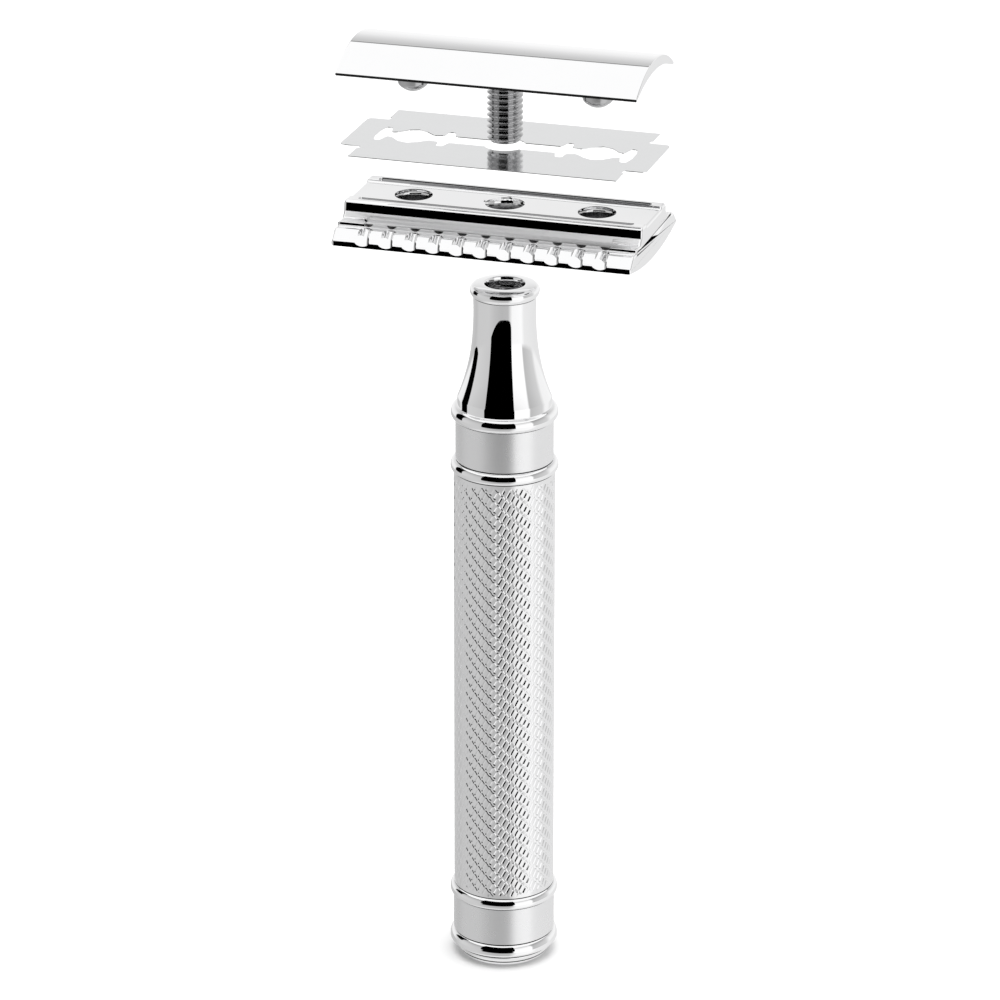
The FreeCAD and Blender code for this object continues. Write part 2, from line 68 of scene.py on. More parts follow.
CAMERA_PLACE = Vector((193.0, -633.4, 327.7)) * MM
CAMERA_HEADING = math.radians(17.0)
CAMERA_DOWN = math.radians(21.355)
CAMERA_ROLL = math.radians(0.07)
CAMERA_LENS = 184.5


def make_camera():
    """Long lens, from the front right and above, looking down at the razor."""
    data = bpy.data.cameras.new("camera")
    data.lens = CAMERA_LENS
    data.sensor_width = 36.0
    data.clip_start = 0.01
    data.clip_end = 20.0
    camera = bpy.data.objects.new("camera", data)
    scene.collection.objects.link(camera)
    turn = Matrix.Rotation(CAMERA_HEADING, 4, "Z")
    tilt = Matrix.Rotation(math.radians(90) - CAMERA_DOWN, 4, "X")
    roll = Matrix.Rotation(CAMERA_ROLL, 4, "Z")
    camera.matrix_world = Matrix.Translation(CAMERA_PLACE) @ turn @ tilt @ roll
    scene.camera = camera


# ---------------------------------------------------------------- outlines

def arc(first, last, radius, side, steps=12):
    """Points of the short arc after first up to last; side +1 bulges right of the way there."""
    first = Vector(first)
    last = Vector(last)
    chord = last - first
    half = chord.length / 2
    radius = max(radius, half)
    across = Vector((chord.y, -chord.x)).normalized() * side
    centre = (first + last) / 2 - across * math.sqrt(radius * radius - half * half)
    begin = math.atan2(first.y - centre.y, first.x - centre.x)
    end = math.atan2(last.y - centre.y, last.x - centre.x)
    sweep = (end - begin + math.pi) % (2 * math.pi) - math.pi
    if abs(abs(sweep) - math.pi) < 1e-6:
        sweep = side * math.pi
    points = []
    for step in range(1, steps + 1):
        angle = begin + sweep * step / steps
        points.append((centre.x + radius * math.cos(angle), centre.y + radius * math.sin(angle)))
    return points


def arch_radius(half, rise):
    """Radius of an arch from half its span and its rise."""
    return (half * half + rise * rise) / (2 * rise)


def soften(points, radius, steps=3, least=math.radians(20)):
    """Round every marked corner of a closed outline that turns by more than a little."""
    softened = []
    count = len(points)
    for index in range(count):
        here = Vector(points[index])
        before = Vector(points[index - 1]) - here
        after = Vector(points[(index + 1) % count]) - here
        turn = math.pi - before.angle(after)
        if turn < least:
            softened.append(tuple(here))
            continue
        reach = min(radius * math.tan(turn / 2), before.length * 0.45, after.length * 0.45)
        start = here + before.normalized() * reach
        stop = here + after.normalized() * reach
        for step in range(steps + 1):
            part = step / steps
            spot = start * (1 - part) ** 2 + here * 2 * part * (1 - part) + stop * part ** 2
            softened.append(tuple(spot))
    return softened


# ---------------------------------------------------------------- meshes

def add_object(name, mesh, body, material, slot, *nodes):
    """Put a mesh in the scene as a finished piece that stands for its CAD nodes."""
    piece = bpy.data.objects.new(name, mesh)
    scene.collection.objects.link(piece)
    mesh.materials.clear()
    mesh.materials.append(material)
    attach(piece, body)
    if nodes:
        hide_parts(*nodes)
    return piece


def shade(mesh, sharp=35.0):
    """Smooth shading, broken at edges sharper than an angle."""
    mesh.polygons.foreach_set("use_smooth", [True] * len(mesh.polygons))
    mesh.set_sharp_from_angle(angle=math.radians(sharp))


def to_mesh(bm, name):
    """Turn a bmesh in millimetres into a mesh in metres, with its faces turned outwards."""
    bmesh.ops.remove_doubles(bm, verts=bm.verts, dist=1e-5)
    bmesh.ops.recalc_face_normals(bm, faces=bm.faces)
    bmesh.ops.scale(bm, vec=(MM, MM, MM), verts=bm.verts)
    mesh = bpy.data.meshes.new(name)
    bm.to_mesh(mesh)
    bm.free()
    return mesh


def lathe_mesh(name, outline, around=224):
    """Revolve a closed outline of (radius, height) about the Z axis."""
    bm = bmesh.new()
    rings = []
    for radius, height in outline:
        ring = []
        for step in range(around):
            angle = 2 * math.pi * step / around
            ring.append(bm.verts.new((radius * math.cos(angle), radius * math.sin(angle), height)))
        rings.append(ring)
    for index, ring in enumerate(rings):
        other = rings[(index + 1) % len(rings)]
        if outline[index][0] < 1e-6 and outline[(index + 1) % len(rings)][0] < 1e-6:
            continue
        for step in range(around):
            following = (step + 1) % around
            bm.faces.new((ring[step], ring[following], other[following], other[step]))
    bmesh.ops.remove_doubles(bm, verts=bm.verts, dist=1e-5)
    bmesh.ops.dissolve_degenerate(bm, edges=bm.edges, dist=1e-6)
    mesh = to_mesh(bm, name)
    shade(mesh)
    return mesh


def shrunk(outline, amount):
    """A closed outline with every side moved inwards by amount."""
    count = len(outline)
    area = 0.0
    for index in range(count):
        x, y = outline[index]
        next_x, next_y = outline[(index + 1) % count]
        area += x * next_y - next_x * y
    turn = 1 if area > 0 else -1
    moved = []
    for index in range(count):
        here = Vector(outline[index])
        before = (here - Vector(outline[index - 1])).normalized()
        after = (Vector(outline[(index + 1) % count]) - here).normalized()
        inwards = Vector((-before.y - after.y, before.x + after.x)) * turn
        share = max(inwards.length_squared / 2, 0.4)
        moved.append(tuple(here + inwards * amount / share))
    return moved


def loft_mesh(name, rings):
    """Skin a row of rings with the same number of points, closed at both ends."""
    bm = bmesh.new()
    rows = [[bm.verts.new(point) for point in ring] for ring in rings]
    count = len(rows[0])
    for row, other in zip(rows, rows[1:]):
        for index in range(count):
            following = (index + 1) % count
            bm.faces.new((row[index], row[following], other[following], other[index]))
    bm.faces.new(rows[0])
    bm.faces.new(list(reversed(rows[-1])))
    return to_mesh(bm, name)


def prism_mesh(name, outline, low, high, axis, end_round=0.0, steps=4):
    """Run a closed outline along X (outline in Y, Z) or Z (outline in X, Y), its ends rounded."""
    sections = [(low, 0.0)]
    if end_round > 0.0:
        angles = [math.pi / 2 * step / steps for step in range(steps + 1)]
        sections = [(low + end_round * (1 - math.cos(angle)), end_round * (1 - math.sin(angle)))
                    for angle in angles]
    sections += [(low + high - level, inset) for level, inset in reversed(sections)]
    rings = []
    for level, inset in sections:
        ring = shrunk(outline, inset) if inset > 1e-6 else outline
        if axis == "X":
            rings.append([(level, a, b) for a, b in ring])
        else:
            rings.append([(a, b, level) for a, b in ring])
    return loft_mesh(name, rings)


def applied(mesh, *settings):
    """A mesh with modifiers applied to it; each setting is a kind and its values."""
    carrier = bpy.data.objects.new("carrier", mesh)
    scene.collection.objects.link(carrier)
    for kind, values in settings:
        modifier = carrier.modifiers.new(kind.lower(), kind)
        for key, value in values.items():
            setattr(modifier, key, value)
    bpy.context.view_layer.update()
    result = bpy.data.meshes.new_from_object(
        carrier.evaluated_get(bpy.context.evaluated_depsgraph_get()))
    bpy.data.objects.remove(carrier)
    return result


def carved(mesh, cutters):
    """Take cutter meshes away from a mesh."""
    shelf = bpy.data.collections.new("cutters")
    scene.collection.children.link(shelf)
    for number, cutter in enumerate(cutters):
        shelf.objects.link(bpy.data.objects.new("cutter%d" % number, cutter))
    result = applied(mesh, ("BOOLEAN", {
        "operation": "DIFFERENCE", "solver": "EXACT", "operand_type": "COLLECTION",
        "collection": shelf, "use_self": True}))
    for thing in list(shelf.objects):
        bpy.data.objects.remove(thing)
    bpy.data.collections.remove(shelf)
    return result


def bevelled(mesh, width, steps=3, angle=30.0):
    """Break a mesh's sharp edges, and keep its shading even over the flat faces."""
    for edge in mesh.edges:
        edge.use_edge_sharp = False
    mesh = applied(
        mesh,
        ("DECIMATE", {"decimate_type": "DISSOLVE", "angle_limit": math.radians(0.05)}),
        ("BEVEL", {
            "width": width * MM, "segments": steps, "limit_method": "ANGLE",
            "angle_limit": math.radians(angle), "use_clamp_overlap": True,
            "harden_normals": False}))
    shade(mesh, 28.0)
    return applied(mesh, ("WEIGHTED_NORMAL", {"keep_sharp": True, "weight": 97}))


# ---------------------------------------------------------------- materials

def new_material(name):
    """A node material with its shader, and a way to add nodes to it."""
    material = bpy.data.materials.new(name)
    material.use_nodes = True
    tree = material.node_tree
    shader = tree.nodes["Principled BSDF"]
    return material, tree, shader


def add_node(tree, kind, **values):
    """Add a node and set its properties and, by name, its unlinked inputs."""
    node = tree.nodes.new(kind)
    for key, value in values.items():
        if key in node.inputs:
            node.inputs[key].default_value = value
        else:
            setattr(node, key, value)
    return node


def object_noise(tree, scale, detail, stretch=(1.0, 1.0, 1.0)):
    """Noise over the object's own coordinates, stretched along its axes."""
    place = add_node(tree, "ShaderNodeTexCoord")
    mapping = add_node(tree, "ShaderNodeMapping")
    mapping.inputs["Scale"].default_value = stretch
    noise = add_node(tree, "ShaderNodeTexNoise", Scale=scale, Detail=detail)
    tree.links.new(place.outputs["Object"], mapping.inputs["Vector"])
    tree.links.new(mapping.outputs["Vector"], noise.inputs["Vector"])
    return noise


def spread(tree, source, low, high, start=0.0, stop=1.0):
    """Map a 0 to 1 value onto a range."""
    node = add_node(tree, "ShaderNodeMapRange")
    node.inputs["From Min"].default_value = start
    node.inputs["From Max"].default_value = stop
    node.inputs["To Min"].default_value = low
    node.inputs["To Max"].default_value = high
    tree.links.new(source, node.inputs["Value"])
    return node.outputs["Result"]


def add_bump(tree, shader, height, strength, distance):
    """Fine relief from a height value."""
    bump = add_node(tree, "ShaderNodeBump", Strength=strength, Distance=distance)
    tree.links.new(height, bump.inputs["Height"])
    tree.links.new(bump.outputs["Normal"], shader.inputs["Normal"])


def make_chrome(name, colour, rough_low, rough_high, metal=1.0):
    """Polished plating: a mirror with faint cloudy wipe marks in its gloss."""
    material, tree, shader = new_material(name)
    shader.inputs["Metallic"].default_value = metal
    cloud = object_noise(tree, 260.0, 4.0, (1.0, 1.0, 0.6))
    tree.links.new(spread(tree, cloud.outputs["Fac"], rough_low, rough_high, 0.35, 0.7),
                   shader.inputs["Roughness"])
    tint = add_node(tree, "ShaderNodeMix", data_type="RGBA")
    tint.inputs["A"].default_value = (*[part * 0.985 for part in colour], 1.0)
    tint.inputs["B"].default_value = (*colour, 1.0)
    tree.links.new(cloud.outputs["Fac"], tint.inputs["Factor"])
    tree.links.new(tint.outputs["Result"], shader.inputs["Base Color"])
    return material


def make_satin(name, colour, rough_low, rough_high):
    """Satin plating: fine turned lines round the handle, and a broad soft gloss."""
    material, tree, shader = new_material(name)
    shader.inputs["Metallic"].default_value = 1.0
    lines = object_noise(tree, 9000.0, 3.0, (0.02, 0.02, 1.0))
    cloud = object_noise(tree, 400.0, 3.0)
    tree.links.new(spread(tree, cloud.outputs["Fac"], rough_low, rough_high, 0.3, 0.7),
                   shader.inputs["Roughness"])
    tint = add_node(tree, "ShaderNodeMix", data_type="RGBA")
    tint.inputs["A"].default_value = (*[part * 0.97 for part in colour], 1.0)
    tint.inputs["B"].default_value = (*colour, 1.0)
    tree.links.new(lines.outputs["Fac"], tint.inputs["Factor"])
    tree.links.new(tint.outputs["Result"], shader.inputs["Base Color"])
    add_bump(tree, shader, lines.outputs["Fac"], 0.08, 0.00001)
    return material


def make_blade_steel(name, colour):
    """Bright ground strip: very fine lines along the blade, slightly cloudy."""
    material, tree, shader = new_material(name)
    shader.inputs["Metallic"].default_value = 1.0
    lines = object_noise(tree, 6000.0, 2.0, (0.015, 1.0, 1.0))
    cloud = object_noise(tree, 150.0, 3.0)
    tree.links.new(spread(tree, cloud.outputs["Fac"], 0.08, 0.13, 0.3, 0.7),
                   shader.inputs["Roughness"])
    tint = add_node(tree, "ShaderNodeMix", data_type="RGBA")
    tint.inputs["A"].default_value = (*[part * 0.96 for part in colour], 1.0)
    tint.inputs["B"].default_value = (*colour, 1.0)
    tree.links.new(lines.outputs["Fac"], tint.inputs["Factor"])
    tree.links.new(tint.outputs["Result"], shader.inputs["Base Color"])
    add_bump(tree, shader, lines.outputs["Fac"], 0.1, 0.000004)
    return material


def make_brass(name):
    """Plain turned brass, as inside the handle."""
    material, tree, shader = new_material(name)
    shader.inputs["Metallic"].default_value = 1.0
    lines = object_noise(tree, 5000.0, 2.0, (0.02, 0.02, 1.0))
    tint = add_node(tree, "ShaderNodeMix", data_type="RGBA")
    tint.inputs["A"].default_value = (0.62, 0.45, 0.2, 1.0)
    tint.inputs["B"].default_value = (0.78, 0.6, 0.33, 1.0)
    tree.links.new(lines.outputs["Fac"], tint.inputs["Factor"])
    tree.links.new(tint.outputs["Result"], shader.inputs["Base Color"])
    tree.links.new(spread(tree, lines.outputs["Fac"], 0.22, 0.34), shader.inputs["Roughness"])
    return material


CHROME = make_chrome("polished_chrome", (0.94, 0.94, 0.945), 0.015, 0.04)
GRIP_CHROME = make_chrome("engraved_chrome", (0.9, 0.9, 0.905), 0.05, 0.09)
STUD_STEEL = make_chrome("stud_steel", (0.5, 0.5, 0.505), 0.08, 0.14)
SATIN = make_satin("satin_chrome", (0.9, 0.9, 0.905), 0.26, 0.3)
BORE_CHROME = make_chrome("bore_chrome", (0.55, 0.55, 0.555), 0.1, 0.16)
TROUGH_CHROME = make_chrome("trough_chrome", (0.8, 0.8, 0.805), 0.4, 0.5, 0.3)
# Darker chrome: painted shade in the plate's rib grooves and on the trough's step.
GROOVE_SHADE_CHROME = make_chrome("groove_shade_chrome", (0.3, 0.3, 0.305), 0.12, 0.2)
# Near black: painted shade in narrow gaps and creases, and along the cap's thin long edges.
SEAM_PAINTED_SHADE = make_chrome("seam_painted_shade", (0.04, 0.04, 0.04), 0.4, 0.5)
BLADE_STEEL = make_blade_steel("blade_steel", (0.82, 0.825, 0.83))
BRASS = make_brass("turned_brass")


# ---------------------------------------------------------------- handle

# Sizes are in millimetres from here on; a point of a turned outline is (radius, height).
CORE_BORE = 5.22
SPIGOT_BORE = 3.52
RECESS_FLOOR = 1.4
RING_DEPTH = 0.6
RING_CREST_SHARE = 0.36
BAND_CORNER = 0.03
SEAM_DEPTH = 0.35
SEAM_HEIGHT = 0.09
SEAM_SLACK = 0.02
FOOT_EDGE = (6.0, 0.1)
FOOT_SKIRT_TOP = (6.28, 0.5)
FOOT_LEDGE = (6.36, 0.65)
FOOT_LEDGE_TOP = (6.8, 1.42)
FOOT_BEAD_FOOT = (6.9, 1.72)
FOOT_BEAD_CREST = 2.3
# Where shade is painted into the foot's creases, each an outer radius and a height.
FOOT_SHADE_LINES = ((6.45, 0.585), (6.96, 1.53))
NECK_BEAD_ROOT = 6.7
NECK_BEAD_HEIGHT = 1.95
NECK_BEAD_CREST = 0.82
FLARE_FOOT = (6.53, 84.2)
FLARE_WAIST = (4.42, 93.6)
FLARE_END = (4.31, 96.9)
COLLAR_LOW = 98.9
COLLAR_GAP = 0.1
COLLAR_SHOULDER = (4.5, 100.4)
CROWN_EDGE = (4.36, 100.47)
MOUTH_EDGE = 2.95
BUSH_TOP = 99.45


def span(node):
    """Lowest and highest point and largest radius of a turned CAD node, in millimetres."""
    low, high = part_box(node)
    return low.z / MM, high.z / MM, high.x / MM


def bead_arc(root, low, high, reach, crest, steps=14):
    """Points of a bead's side: two quarter ellipses that meet at its widest height."""
    points = []
    for step in range(1, 2 * steps + 1):
        angle = math.pi / 2 * (step / steps - 1)
        height = crest - low if angle < 0 else high - crest
        points.append((root + (reach - root) * math.cos(angle), crest + height * math.sin(angle)))
    return points


def paint_seam_shade(mesh, *seams):
    """Paint shade into narrow gaps with the near-black material; each is an outer radius and a
    height.
    """
    mesh.materials.append(SEAM_PAINTED_SHADE)
    # Painted shade: faces inside each gap get the near-black material.
    for face in mesh.polygons:
        spot = face.center / MM
        radius = math.hypot(spot.x, spot.y)
        for reach, level in seams:
            within = reach - SEAM_DEPTH - SEAM_SLACK < radius < reach - 2 * SEAM_SLACK
            if within and abs(spot.z - level) < SEAM_HEIGHT + SEAM_SLACK / 2:
                face.material_index = 1


def build_rings():
    """The loose beads between the handle's sleeves, fullest a little below their middle."""
    for node in ("lower_bead", "upper_bead"):
        low, high, reach = span(node)
        root = reach - RING_DEPTH
        outline = [(CORE_BORE, low), (root, low)]
        outline += bead_arc(root, low, high, reach, low + RING_CREST_SHARE * (high - low))
        outline += [(CORE_BORE, high)]
        add_object(node + "_ring", lathe_mesh(node, outline), "handle", CHROME,
                   "polished_chrome", node)


def build_bands():
    """The two satin sleeves, with narrow seams at their ends, painted with shade."""
    for node in ("lower_band", "upper_band"):
        low, high, reach = span(node)
        inner = reach - SEAM_DEPTH
        half = [(CORE_BORE, low), (inner, low), (inner, low + SEAM_HEIGHT),
                (reach - BAND_CORNER, low + SEAM_HEIGHT),
                (reach, low + SEAM_HEIGHT + BAND_CORNER)]
        outline = half + [(r, low + high - z) for r, z in reversed(half)]
        band = add_object(node + "_sleeve", lathe_mesh(node, outline), "handle", SATIN,
                          "satin_chrome", node)
        # Painted shade in the seams at both ends of the sleeve.
        paint_seam_shade(band.data, (reach, low), (reach, high))


def build_foot():
    """The stepped foot with the lowest bead."""
    low, high, reach = span("foot_cap")
    root, bead_low = FOOT_BEAD_FOOT
    outline = [(0.0, RECESS_FLOOR), (0.0, low), (5.75, low), FOOT_EDGE]
    outline += arc(FOOT_EDGE, FOOT_SKIRT_TOP, 0.6, 1, 5)
    outline += [(6.34, 0.52), FOOT_LEDGE]
    outline += arc(FOOT_LEDGE, FOOT_LEDGE_TOP, 1.2, 1, 6)
    outline += [(6.86, 1.45), (6.88, 1.6), FOOT_BEAD_FOOT]
    outline += bead_arc(root, bead_low, high, reach, FOOT_BEAD_CREST)
    outline += [(SPIGOT_BORE, high), (SPIGOT_BORE, RECESS_FLOOR)]
    foot = add_object("foot_cap_turned", lathe_mesh("foot_cap", outline), "handle", CHROME,
                      "polished_chrome", "foot_cap")
    # Painted shade in the foot's two creases.
    paint_seam_shade(foot.data, *FOOT_SHADE_LINES)


def build_neck():
    """The flared neck with its lower bead and the collar round the mouth."""
    low, high, reach = span("neck")
    bead_top = low + NECK_BEAD_HEIGHT
    gap_low = COLLAR_LOW - COLLAR_GAP
    outline = [(SPIGOT_BORE, low), (NECK_BEAD_ROOT, low)]
    outline += bead_arc(NECK_BEAD_ROOT, low, bead_top, reach, low + NECK_BEAD_CREST)
    outline += [(6.56, bead_top + 0.02), (6.53, bead_top + 0.1), FLARE_FOOT]
    outline += arc(FLARE_FOOT, FLARE_WAIST, 29.8, -1, 40)
    outline += arc(FLARE_WAIST, FLARE_END, 49.6, -1, 16)
    outline += [(4.335, gap_low), (4.2, gap_low), (4.2, COLLAR_LOW), (4.4, COLLAR_LOW)]
    outline += arc((4.4, COLLAR_LOW), COLLAR_SHOULDER, 0.97, 1, 22)
    outline += [(4.42, 100.42), CROWN_EDGE]
    outline += arc(CROWN_EDGE, (MOUTH_EDGE, high), 8.0, 1, 8)
    outline += arc((MOUTH_EDGE, high), (2.8, high - 0.1), 0.14, 1, 4)
    outline += [(2.58, BUSH_TOP + 0.05), (2.6, BUSH_TOP), (SPIGOT_BORE, BUSH_TOP)]
    neck = add_object("neck_turned", lathe_mesh("neck", outline), "handle", CHROME,
                      "polished_chrome", "neck")
    # Painted shade in the gap under the collar.
    paint_seam_shade(neck.data, (4.36, COLLAR_LOW - COLLAR_GAP / 2))


# ---------------------------------------------------------------- engraved grip

# The engraving is a lattice of cells: COLUMNS of them round the grip, TURN_ROWS rows up in one
# turn. ACROSS and ALONG place the nodes of a cell. The slashes are cut at the first of ACROSS
# where SLASH_SWELL is up, and the steep lines at the first of ALONG; the drifts bend both.
COLUMNS = 76
TURN_ROWS = 22
ROW_HEIGHT = 2.0
ACROSS = (0.0, 0.25, 0.5, 0.8)
ALONG = (0.0, 0.16, 0.26, 0.5, 0.76, 0.91)
SLASH_SHARE = (1.0, 0.0, 0.0, 0.0)
SLASH_SWELL = (0.0, 0.0, 1.0, 1.0, 1.0, 0.0)
SLASH_DRIFT = (0.0, 0.0, -0.05, 0.0, 0.05, 0.0)
LINE_SHARE = (0.1, 1.0, 1.0, 1.0)
LINE_DRIFT = (0.0, 0.044, 0.004, -0.044)
SLASH_DEPTH = 0.074
LINE_DEPTH = 0.062
MARGIN = 0.7


def engraving(i, j):
    """Depth of the lattice at one of the nodes of a cell: steep dashes, and slashes between."""
    slash = SLASH_DEPTH * SLASH_SHARE[i] * SLASH_SWELL[j]
    line = LINE_DEPTH * LINE_SHARE[i] if j == 0 else 0.0
    return slash + line


def grip_surface(radius, low, high):
    """The engraved tube's outer surface, as a grid that follows both sets of grooves."""
    bm = bmesh.new()
    width = 2 * math.pi * radius / COLUMNS
    fall = ROW_HEIGHT * TURN_ROWS / COLUMNS
    rise = ROW_HEIGHT - fall
    turn_across = COLUMNS - TURN_ROWS
    across = len(ACROSS)
    along = len(ALONG)
    grid = {}

    def vertex(i, j):
        if j >= along * TURN_ROWS:
            j -= along * TURN_ROWS
            i -= across * turn_across
        if (i, j) not in grid:
            steep = i // across + ACROSS[i % across]
            shallow = j // along + ALONG[j % along]
            z = low - fall * steep + rise * shallow
            edge = min(z - low, high - z) / MARGIN
            fade = min(1.0, max(0.0, edge * 2.0 - 1.0))
            drift = LINE_DRIFT[i % across] * fade
            slant = SLASH_DRIFT[j % along] * fade
            z += rise * drift - fall * slant
            angle = (steep + shallow + drift + slant) * width / radius
            r = radius - engraving(i % across, j % along) * fade
            grid[(i, j)] = bm.verts.new((r * math.cos(angle), r * math.sin(angle), z))
        return grid[(i, j)]

    for j in range(along * TURN_ROWS):
        shallow = j / along
        top = (rise * shallow + 1.5 * ROW_HEIGHT) / fall
        bottom = (rise * shallow - (high - low) - 1.5 * ROW_HEIGHT) / fall
        for i in range(int(bottom) * across, int(top) * across):
            bm.faces.new((vertex(i, j), vertex(i + 1, j), vertex(i + 1, j + 1), vertex(i, j + 1)))
    for level, side in ((low, -1), (high, 1)):
        bmesh.ops.bisect_plane(
            bm, geom=bm.verts[:] + bm.edges[:] + bm.faces[:], dist=1e-5,
            plane_co=(0, 0, level), plane_no=(0, 0, side), clear_outer=True)
    return bm


def close_tube(bm, radius, levels, inset=0.0, gap=0.0):
    """Close an open tube with a plain wall at radius, and ends that step in if inset is given."""
    walls = []
    for level, side in levels:
        rim = [e for e in bm.edges if e.is_boundary and abs(e.verts[0].co.z - level) < 1e-3
               and abs(e.verts[1].co.z - level) < 1e-3]
        steps = [(None, 0.0, radius)]
        if inset > 0.0:
            steps = [(-inset, 0.0, None), (0.0, side * gap, None)] + steps
        for r_shift, z_shift, fixed in steps:
            made = bmesh.ops.extrude_edge_only(bm, edges=rim)["geom"]
            rim = [g for g in made if isinstance(g, bmesh.types.BMEdge)]
            for v in {v for e in rim for v in e.verts}:
                here = math.hypot(v.co.x, v.co.y)
                want = fixed if fixed else here + r_shift
                v.co.x *= want / here
                v.co.y *= want / here
                v.co.z += z_shift
        walls += rim
    bmesh.ops.bridge_loops(bm, edges=walls)


def build_grip():
    """The engraved sleeve."""
    low, high, reach = span("grip_sleeve")
    bm = grip_surface(reach, low + SEAM_HEIGHT, high - SEAM_HEIGHT)
    close_tube(bm, CORE_BORE, ((low + SEAM_HEIGHT, -1), (high - SEAM_HEIGHT, 1)),
               SEAM_DEPTH, SEAM_HEIGHT)
    mesh = to_mesh(bm, "grip_sleeve")
    shade(mesh, 8.0)
    add_object("grip_engraved", mesh, "handle", GRIP_CHROME, "engraved_chrome", "grip_sleeve")
    # Painted shade in the seams at both ends of the grip.
    paint_seam_shade(mesh, (reach, low), (reach, high))


# ---------------------------------------------------------------- threads

THREAD_PITCH = 0.8
THREAD_STEPS = 56


def thread_grid(low, high, profile, limit):
    """A helical surface; profile is (share of the pitch, radius), limit(z, r) trims the radius."""
    bm = bmesh.new()
    count = len(profile)
    turns = int((high - low) / THREAD_PITCH) + 3
    grid = {}

    def vertex(step, point):
        turn = point // count
        if step == THREAD_STEPS:
            step = 0
            turn += 1
        share, radius = profile[point % count]
        key = (step, turn, point % count)
        if key not in grid:
            angle = 2 * math.pi * step / THREAD_STEPS
            z = low + (turn - 1.5 + share + step / THREAD_STEPS) * THREAD_PITCH
            r = limit(z, radius)
            grid[key] = bm.verts.new((r * math.cos(angle), r * math.sin(angle), z))
        return grid[key]

    for step in range(THREAD_STEPS):
        for point in range(turns * count):
            bm.faces.new((vertex(step, point), vertex(step + 1, point),
                          vertex(step + 1, point + 1), vertex(step, point + 1)))
    for level, side in ((low, -1), (high, 1)):
        bmesh.ops.bisect_plane(
            bm, geom=bm.verts[:] + bm.edges[:] + bm.faces[:], dist=1e-5,
            plane_co=(0, 0, level), plane_no=(0, 0, side), clear_outer=True)
    return bm


def build_stud():
    """The cap's stud: a helical ridge with narrow crests, and a chamfered tip."""
    low, high, reach = span("threaded_stud")
    root = 2.0
    tip = 1.95
    profile = ((0.0, root), (0.06, root + 0.02), (0.22, root + 0.17), (0.4, reach - 0.04),
               (0.46, reach), (0.54, reach), (0.6, reach - 0.04), (0.78, root + 0.17),
               (0.94, root + 0.02))

    def tip_cone(z, r):
        return min(r, tip + max(0.0, z - low))

    bm = thread_grid(low, high, profile, tip_cone)
    for level in (low, high):
        rim = [e for e in bm.edges if e.is_boundary and abs(e.verts[0].co.z - level) < 1e-3]
        bmesh.ops.contextual_create(bm, geom=rim)
    mesh = to_mesh(bm, "threaded_stud")
    shade(mesh, 60.0)
    add_object("stud_threaded", mesh, "cap", STUD_STEEL, "stud_steel", "threaded_stud")


def build_insert():
    """The threaded bush in the neck."""
    low, high, reach = span("thread_insert")
    crest = 2.56
    root = 2.86
    profile = ((0.0, crest), (0.1, crest), (0.45, root), (0.55, root), (0.9, crest))
    bm = thread_grid(low, high, profile, lambda z, r: r)
    close_tube(bm, reach, ((low, 0.0), (high, 0.0)))
    mesh = to_mesh(bm, "thread_insert")
    shade(mesh, 30.0)
    add_object("insert_threaded", mesh, "bush", STUD_STEEL, "insert_brass", "thread_insert")


# ---------------------------------------------------------------- pins

PIN_PLACE = 13.0


def build_pins():
    """Two domed pins."""
    low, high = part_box("locating_pins")
    low_z, high_z = low.z / MM, high.z / MM
    radius = high.x / MM - PIN_PLACE
    shoulder = (1.6, low_z + 0.62)
    for number, side in enumerate((-1, 1)):
        outline = [(0.0, high_z), (0.0, low_z)]
        outline += arc((0.0, low_z), shoulder, 2.4, 1, 12)
        outline += arc(shoulder, (radius, low_z + 1.35), 0.95, 1, 8)
        outline += [(radius, high_z)]
        mesh = lathe_mesh("pin%d" % number, outline, 96)
        mesh.transform(Matrix.Translation((side * PIN_PLACE * MM, 0, 0)))
        nodes = ("locating_pins",) if number == 0 else ()
        add_object("locating_pin_%d" % (number + 1), mesh, "cap", STUD_STEEL, "stud_steel", *nodes)


# ---------------------------------------------------------------- cap

CAP_EDGE = 0.35
CAP_ROUND = 0.16
# How far in from the cap's long sides shade is painted.
CAP_SHADE_WIDTH = 0.09
CAP_HOLLOW_HALF = 9.1
CAP_HOLLOW_RISE = 1.75


def build_cap():
    """The arched cap; shade is painted along its thin long edges."""
    low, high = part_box("cap")
    low_z, high_z = low.z / MM, high.z / MM
    half = high.y / MM
    edge_top = low_z + CAP_EDGE
    crown = arch_radius(half, high_z - edge_top)
    hollow = arch_radius(CAP_HOLLOW_HALF, CAP_HOLLOW_RISE)
    outline = [(half, low_z), (half, edge_top)]
    outline += arc((half, edge_top), (-half, edge_top), crown, 1, 64)
    outline += [(-half, low_z), (-CAP_HOLLOW_HALF, low_z)]
    outline += arc((-CAP_HOLLOW_HALF, low_z), (CAP_HOLLOW_HALF, low_z), hollow, -1, 48)
    mesh = prism_mesh("cap", outline, low.x / MM, high.x / MM, "X")
    mesh = bevelled(mesh, CAP_ROUND, 3, 25.0)
    add_object("cap_arched", mesh, "cap", CHROME, "polished_chrome", "cap")
    # Painted shade: faces along the cap's thin long edges get the near-black material.
    mesh.materials.append(SEAM_PAINTED_SHADE)
    for face in mesh.polygons:
        spot = face.center / MM
        if abs(spot.y) > half - CAP_SHADE_WIDTH and spot.z < edge_top:
            face.material_index = 1


# ---------------------------------------------------------------- base plate

